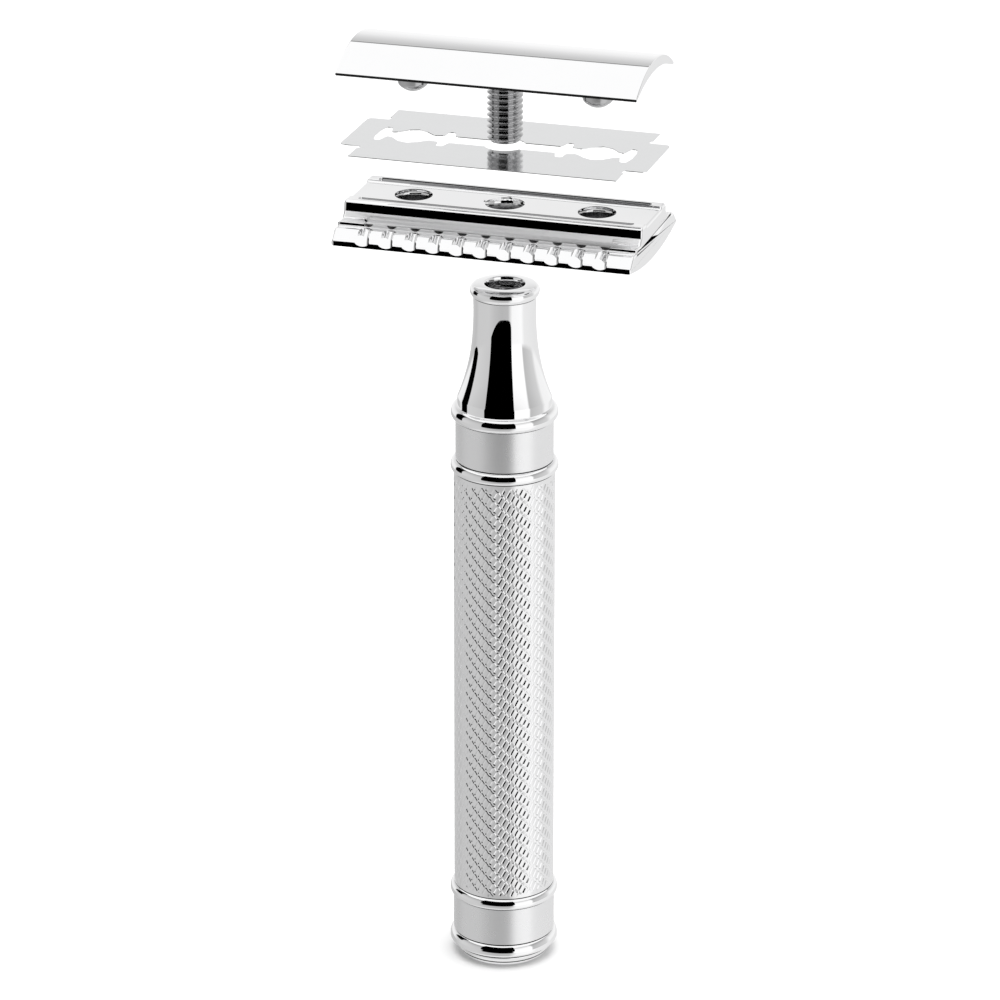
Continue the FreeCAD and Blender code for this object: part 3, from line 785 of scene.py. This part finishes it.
# FLOOR is the height of the plate's platform; a point of its cross-section is (Y, height).
FLOOR = 112.0
RIB_TOP = FLOOR + 0.35
LEDGE_TOP = FLOOR - 1.85
BAR_TOP = FLOOR - 2.3
SIDE_FOOT = (11.6, FLOOR - 4.35)
SIDE_TOP = (11.6, FLOOR - 3.85)
BELLY_RISE = 1.35
END_ROUND = 0.38
TROUGH_END = 17.2
GROOVE_END = 19.4
GROOVE_MIDDLE = (4.42, FLOOR + 0.5)
GROOVE_RADIUS = 0.62
SOCKET_RADIUS = 5.15
SOCKET_TOP = 109.6
# Each hole: its place along X, its bore and its rim.
HOLES = ((0.0, 2.7, 3.3), (-PIN_PLACE, 2.6, 3.2), (PIN_PLACE, 2.6, 3.2))
RIM_DEPTH = 0.4
THROAT_DEPTH = 0.85
THROAT = 0.18
SCOOP_PITCH = 3.33
SCOOPS_EACH_WAY = 5
# A scoop's lowest line: how far out, how far below the bar's top, and the radius there.
SCOOP_PATH = ((8.5, -0.19, 0.95), (8.9, 0.0, 1.0), (9.4, 0.21, 1.02), (9.95, 0.49, 1.06),
              (10.4, 0.76, 1.18), (10.8, 1.05, 1.42), (11.15, 1.36, 1.75), (11.5, 1.7, 2.15),
              (11.9, 2.12, 2.6), (12.4, 2.7, 3.1))
# The finishes of the plate's faces, by material index; the groove one is painted shade.
OUTSIDE, IN_BORE, IN_TROUGH, IN_GROOVE_SHADE = range(4)


def cylinder_mesh(name, radius, length, place, rim=None):
    """A round cutter from place along +Z; rim is its radius at the far end."""
    far = radius if rim is None else rim
    outline = [(0.0, 0.0), (radius, 0.0), (far, length), (0.0, length)]
    mesh = lathe_mesh(name, outline, 96)
    mesh.transform(Matrix.Translation(Vector(place) * MM))
    return mesh


def plate_outline():
    """The plate's cross-section in Y and Z: platform, ribs, ledges, bars and curved belly."""
    half = [SIDE_FOOT]
    half += arc(SIDE_TOP, (11.36, FLOOR - 3.5), 0.38, 1, 6)
    half += arc((10.35, FLOOR - 2.52), (9.9, BAR_TOP), 0.75, 1, 6)
    half += [(8.85, BAR_TOP), (8.78, FLOOR - 2.22), (8.7, FLOOR - 1.93)]
    half += arc((8.7, FLOOR - 1.93), (8.6, LEDGE_TOP), 0.1, 1, 3)
    half += [(7.05, LEDGE_TOP)]
    half += arc((7.05, LEDGE_TOP), (6.75, FLOOR - 1.75), 0.4, -1, 4)
    half += [(6.15, FLOOR - 1.1), (6.05, FLOOR - 0.2)]
    half += arc((6.05, FLOOR - 0.2), (5.25, RIB_TOP), 0.64, 1, 8)
    half += [(3.95, RIB_TOP)]
    half += arc((3.95, RIB_TOP), (3.4, FLOOR), 0.8, -1, 6)
    mirrored = [(-y, z) for y, z in reversed(half)]
    belly = arch_radius(SIDE_FOOT[0], BELLY_RISE)
    return half + mirrored + arc(mirrored[-1], SIDE_FOOT, belly, 1, 40)[:-1]


def trough_mesh(side):
    """The stepped lather trough under the platform's steep wall, open upwards."""
    outline = [(6.3, -1.22), (6.36, -1.55), (7.1, -2.0), (7.14, -2.2), (8.5, -2.42),
               (8.64, -2.36), (8.84, -2.28), (8.95, -1.0), (6.6, -1.0)]
    outline = [(side * y, FLOOR + z) for y, z in soften(outline, 0.08)]
    return prism_mesh("trough", outline, -TROUGH_END, TROUGH_END, "X", 0.35)


def groove_mesh(side):
    """The round-bottomed groove along a rib's crest."""
    across, height = GROOVE_MIDDLE
    outline = []
    for degrees in range(0, 360, 15):
        angle = math.radians(degrees)
        outline.append((side * across + GROOVE_RADIUS * math.cos(angle),
                        height + GROOVE_RADIUS * math.sin(angle)))
    return prism_mesh("groove", outline, -GROOVE_END, GROOVE_END, "X", 0.45)


def scoop_mesh(side, x):
    """The fan-shaped cutter of one scoop: it steepens and widens on its way out over the bar."""
    around = 72
    rings = []
    last = len(SCOOP_PATH) - 1
    for index, (y, drop, radius) in enumerate(SCOOP_PATH):
        before = SCOOP_PATH[max(index - 1, 0)]
        after = SCOOP_PATH[min(index + 1, last)]
        slope = math.atan2(after[1] - before[1], after[0] - before[0])
        ring = []
        for step in range(around):
            angle = 2 * math.pi * step / around
            lift = radius * (1 + math.sin(angle))
            ring.append((x + radius * math.cos(angle), side * (y + lift * math.sin(slope)),
                         BAR_TOP - drop + lift * math.cos(slope)))
        rings.append(ring)
    return loft_mesh("scoop", rings)


def plate_cutters():
    """Troughs, rib grooves, holes, the collar's socket and the scoops."""
    low = FLOOR - 8.0
    cutters = []
    for side in (-1, 1):
        cutters.append(trough_mesh(side))
        cutters.append(groove_mesh(side))
        for number in range(-SCOOPS_EACH_WAY, SCOOPS_EACH_WAY + 1):
            cutters.append(scoop_mesh(side, SCOOP_PITCH * number))
    cutters.append(cylinder_mesh("socket", SOCKET_RADIUS, SOCKET_TOP - low, (0, 0, low)))
    for x, bore, rim in HOLES:
        cutters.append(cylinder_mesh("hole", bore, 10.0, (x, 0, low)))
        cutters.append(cylinder_mesh("throat", bore, THROAT_DEPTH, (x, 0, FLOOR - THROAT_DEPTH),
                                     rim=bore + 2 * THROAT))
        cutters.append(cylinder_mesh("rim", bore + THROAT, RIM_DEPTH, (x, 0, FLOOR - RIM_DEPTH),
                                     rim=rim))
    return cutters


def cut_finish(spot):
    """Which finish a point of the plate, in millimetres, has; the grooves and the trough's step
    get painted shade.
    """
    away = abs(spot.y)
    below = FLOOR - spot.z
    if below > THROAT_DEPTH + 0.02:
        in_hole = any(math.hypot(spot.x - x, spot.y) < bore + 0.05 for x, bore, rim in HOLES)
        if in_hole or (math.hypot(spot.x, spot.y) < SOCKET_RADIUS + 0.05 and below > 2.0):
            return IN_BORE
    if abs(spot.x) < TROUGH_END + 0.02 and 6.25 < away < 8.86:
        # Painted shade: the trough's inner step and the rib grooves get the darker groove chrome.
        on_step = 7.04 < away < 7.24 and 1.96 < below < 2.25
        if on_step:
            return IN_GROOVE_SHADE
        if 1.2 < below < 2.5:
            return IN_TROUGH
    from_groove = math.hypot(away - GROOVE_MIDDLE[0], spot.z - GROOVE_MIDDLE[1])
    if abs(spot.x) < GROOVE_END + 0.02 and abs(from_groove - GROOVE_RADIUS + 0.01) < 0.03:
        return IN_GROOVE_SHADE
    return OUTSIDE


def build_plate():
    """The base plate with its ribs, troughs and scooped bars."""
    low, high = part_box("base_plate")
    blank = prism_mesh("base_plate", plate_outline(), low.x / MM, high.x / MM, "X",
                       END_ROUND)
    mesh = bevelled(carved(blank, plate_cutters()), 0.05, 3, 34.0)
    add_object("base_plate_polished", mesh, "plate", CHROME, "polished_chrome", "base_plate")
    # The groove material paints shade into the rib grooves and the trough's step.
    for finish in (BORE_CHROME, TROUGH_CHROME, GROOVE_SHADE_CHROME):
        mesh.materials.append(finish)
    for face in mesh.polygons:
        face.material_index = cut_finish(face.center / MM)


# ---------------------------------------------------------------- blade

BLADE_HOLE = 2.85
BLADE_SLIT = 1.5


def blade_half_outline():
    """Right half of the blade's outline, from the front edge to the back."""
    lower = [(18.7, -11.0), (18.7, -7.4)]
    lower += arc((18.7, -7.4), (18.7, -6.3), 0.6, -1, 10)
    lower += [(20.7, -6.3)]
    lower += arc((20.7, -6.3), (21.5, -5.5), 0.8, 1, 8)
    return lower + [(x, -y) for x, y in reversed(lower)]


def slot_half_outline():
    """Right half of the slot, from its front side to its back side."""
    hole = math.sqrt(BLADE_HOLE ** 2 - BLADE_SLIT ** 2)
    lower = [(hole, -BLADE_SLIT), (7.5, -BLADE_SLIT), (7.9, -3.2), (8.9, -3.2), (9.0, -1.5),
             (10.4, -1.2), (11.7, -2.4), (13.0, -3.1), (14.4, -2.6), (15.6, -1.3),
             (16.4, -0.95), (16.9, -3.0), (17.75, -3.0), (18.1, -1.2)]
    return lower + [(x, -y) for x, y in reversed(lower)]


def build_blade():
    """The blade with its ground edges; the plate below is lit as if it weren't there."""
    low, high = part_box("blade")
    low_z, high_z = low.z / MM, high.z / MM
    right = blade_half_outline()
    outline = right + [(-x, y) for x, y in reversed(right)]
    mesh = prism_mesh("blade", outline, low_z, high_z, "Z")
    half = slot_half_outline()
    ring = list(half)
    top_from = half[-1]
    ring += arc(top_from, (-top_from[0], top_from[1]), BLADE_HOLE, 1, 24)[:-1]
    ring += [(-x, y) for x, y in reversed(half)]
    bottom_from = (-half[0][0], half[0][1])
    ring += arc(bottom_from, half[0], BLADE_HOLE, 1, 24)[:-1]
    ring = soften(ring, 0.5, 4, math.radians(12))
    cutter = prism_mesh("blade_slot", ring, low_z - 1, high_z + 1, "Z")
    mesh = bevelled(carved(mesh, [cutter]), 0.008, 1, 30.0)
    blade = add_object("blade_ground", mesh, "blade", BLADE_STEEL, "blade_steel", "blade")
    blade.visible_glossy = False


# ---------------------------------------------------------------- studio

def black_material(name):
    """A material that gives no light back."""
    material = bpy.data.materials.new(name)
    material.use_nodes = True
    tree = material.node_tree
    tree.nodes.clear()
    dark = add_node(tree, "ShaderNodeEmission", Strength=0.0)
    out = add_node(tree, "ShaderNodeOutputMaterial")
    tree.links.new(dark.outputs["Emission"], out.inputs["Surface"])
    return material


def card(name, distance, high, corners):
    """A curved black card that only reflections see; corners are along its lower edge.

    Degrees count from the camera's side, + to its right.
    """
    bm = bmesh.new()
    rows = []
    for degrees, low in corners:
        angle = CAMERA_HEADING + math.radians(degrees)
        x = distance * math.sin(angle)
        y = -distance * math.cos(angle)
        rows.append((bm.verts.new((x, y, low)), bm.verts.new((x, y, high))))
    for row, following in zip(rows, rows[1:]):
        bm.faces.new((row[0], following[0], following[1], row[1]))
    mesh = to_mesh(bm, name)
    thing = bpy.data.objects.new(name, mesh)
    scene.collection.objects.link(thing)
    mesh.materials.append(black_material(name))
    thing.visible_camera = False
    thing.visible_diffuse = False
    thing.visible_shadow = False
    thing.visible_transmission = False


FLOOR_SIZE = 6000.0


def make_floor():
    """A wide white floor that reflections don't see."""
    bm = bmesh.new()
    bmesh.ops.create_grid(bm, x_segments=1, y_segments=1, size=FLOOR_SIZE)
    mesh = to_mesh(bm, "floor")
    floor = bpy.data.objects.new("floor", mesh)
    scene.collection.objects.link(floor)
    material, tree, shader = new_material("white_sweep")
    shader.inputs["Base Color"].default_value = (0.93, 0.93, 0.93, 1.0)
    shader.inputs["Roughness"].default_value = 0.9
    shader.inputs["Specular IOR Level"].default_value = 0.0
    mesh.materials.append(material)
    floor.visible_glossy = False


def math_node(tree, operation, first, second):
    """A math node over two values, each a socket or a number."""
    node = add_node(tree, "ShaderNodeMath", operation=operation)
    for index, value in enumerate((first, second)):
        if isinstance(value, (int, float)):
            node.inputs[index].default_value = value
        else:
            tree.links.new(value, node.inputs[index])
    return node.outputs["Value"]


def ramp_node(tree, fac, stops):
    """A grey ramp; stops are (place, value)."""
    ramp = add_node(tree, "ShaderNodeValToRGB")
    elements = ramp.color_ramp.elements
    elements[0].position = stops[0][0]
    elements[1].position = stops[-1][0]
    for position, value in stops[1:-1]:
        elements.new(position)
    for element, (position, value) in zip(elements, stops):
        element.color = (value, value, value, 1.0)
    tree.links.new(fac, ramp.inputs["Fac"])
    return ramp.outputs["Color"]


def round_stops(pairs):
    """Turn (degrees from the camera's side, + to its right) into ramp places."""
    return [(0.5 + degrees / 360.0, value) for degrees, value in pairs]


# How bright the surroundings are: at eye level and low down, by degrees from the camera's side,
# and a factor by the sine of the elevation.
LEVEL_LIGHT = ((-180, 1.0), (-128, 0.9), (-112, 0.6), (-98, 0.68), (-49, 0.6), (-44, 0.0),
               (18, 0.0), (22, 1.1), (60, 1.15), (64, 0.54), (100, 0.68), (112, 0.95),
               (180, 1.0))
GROUND_LIGHT = ((-180, 0.72), (-150, 0.58), (-125, 0.54), (-108, 0.62), (-60, 0.63), (-36, 0.55),
                (-12, 0.5), (12, 0.52), (27, 1.0), (62, 1.05), (74, 0.88), (120, 0.84),
                (180, 0.8))
BACK_FADE = ((0.0, 1.0), (0.1, 1.0), (0.3, 0.9), (0.55, 0.62), (0.595, 0.6), (0.6, 0.2),
             (0.614, 0.2), (0.62, 1.0), (1.0, 1.0))


GROUND_TO_LEVEL = (-0.22, -0.18)
LEVEL_TO_ABOVE = (0.614, 0.618)
GROUND_TO_BELOW = (-0.75, -0.9)
ABOVE = (1.05, 1.05, 1.05, 1.0)
BELOW = (0.85, 0.85, 0.85, 1.0)


def make_world():
    """Soft surroundings: white above, bright to the right, grey left and low, dark in front."""
    world = bpy.data.worlds.new("studio")
    scene.world = world
    world.use_nodes = True
    tree = world.node_tree
    tree.nodes.clear()
    place = add_node(tree, "ShaderNodeTexCoord")
    turned = add_node(tree, "ShaderNodeVectorRotate", rotation_type="Z_AXIS")
    turned.inputs["Angle"].default_value = -CAMERA_HEADING
    split = add_node(tree, "ShaderNodeSeparateXYZ")
    tree.links.new(place.outputs["Generated"], turned.inputs["Vector"])
    tree.links.new(turned.outputs["Vector"], split.inputs["Vector"])
    ahead = math_node(tree, "MULTIPLY", split.outputs["Y"], -1.0)
    angle = math_node(tree, "ARCTAN2", split.outputs["X"], ahead)
    share = spread(tree, angle, 0.0, 1.0, -math.pi, math.pi)
    level = ramp_node(tree, share, round_stops(LEVEL_LIGHT))
    ground = ramp_node(tree, share, round_stops(GROUND_LIGHT))
    rise = split.outputs["Z"]
    parts = ((ground, level, *GROUND_TO_LEVEL), (None, ABOVE, *LEVEL_TO_ABOVE),
             (None, BELOW, *GROUND_TO_BELOW))
    colour = None
    for below, above, start, stop in parts:
        mix = add_node(tree, "ShaderNodeMix", data_type="RGBA")
        tree.links.new(spread(tree, rise, 0.0, 1.0, start, stop), mix.inputs["Factor"])
        tree.links.new(below if below else colour, mix.inputs["A"])
        if isinstance(above, tuple):
            mix.inputs["B"].default_value = above
        else:
            tree.links.new(above, mix.inputs["B"])
        colour = mix.outputs["Result"]
    fade = add_node(tree, "ShaderNodeMix", data_type="RGBA", blend_type="MULTIPLY")
    fade.inputs["Factor"].default_value = 1.0
    tree.links.new(colour, fade.inputs["A"])
    tree.links.new(ramp_node(tree, rise, BACK_FADE), fade.inputs["B"])
    back = add_node(tree, "ShaderNodeBackground", Strength=1.0)
    tree.links.new(fade.outputs["Result"], back.inputs["Color"])
    out = add_node(tree, "ShaderNodeOutputWorld")
    tree.links.new(back.outputs["Background"], out.inputs["Surface"])


def area_light(name, place, target, size, power):
    """A soft square light that points at target."""
    data = bpy.data.lights.new(name, "AREA")
    data.shape = "SQUARE"
    data.size = size
    data.energy = power
    lamp = bpy.data.objects.new(name, data)
    lamp.location = place
    lamp.rotation_euler = (Vector(target) - Vector(place)).to_track_quat("-Z", "Y").to_euler()
    scene.collection.objects.link(lamp)
    return lamp


# The black cards' lower edges, as corners of (degrees, height).
BLACK_FRONT = ((-49, 27), (-44, 21), (-38, 15), (-30, 9), (-20, 4), (-8, 2), (4, 2), (14, 3),
               (20, 6), (23, 14))
BLACK_LEFT = ((-122, 30), (-112, 30), (-105, 35), (-99, 45))


def make_studio():
    """White floor, soft surroundings, one broad light overhead, and two black cards."""
    scene.view_settings.view_transform = "Standard"
    scene.view_settings.look = "None"
    make_floor()
    make_world()
    top = area_light("overhead", (0.1, -0.1, 1.2), (0, 0, 0), 1.2, 12.0)
    top.visible_glossy = False
    card("black_front", 280.0, 340.0, BLACK_FRONT)
    card("black_left", 270.0, 260.0, BLACK_LEFT)


# ---------------------------------------------------------------- assembly

make_camera()
build_rings()
build_bands()
build_foot()
build_neck()
build_grip()
build_stud()
build_insert()
build_pins()
build_cap()
build_plate()
build_blade()
frame["nodes"]["handle_core"].data.materials.clear()
frame["nodes"]["handle_core"].data.materials.append(BRASS)
make_studio()
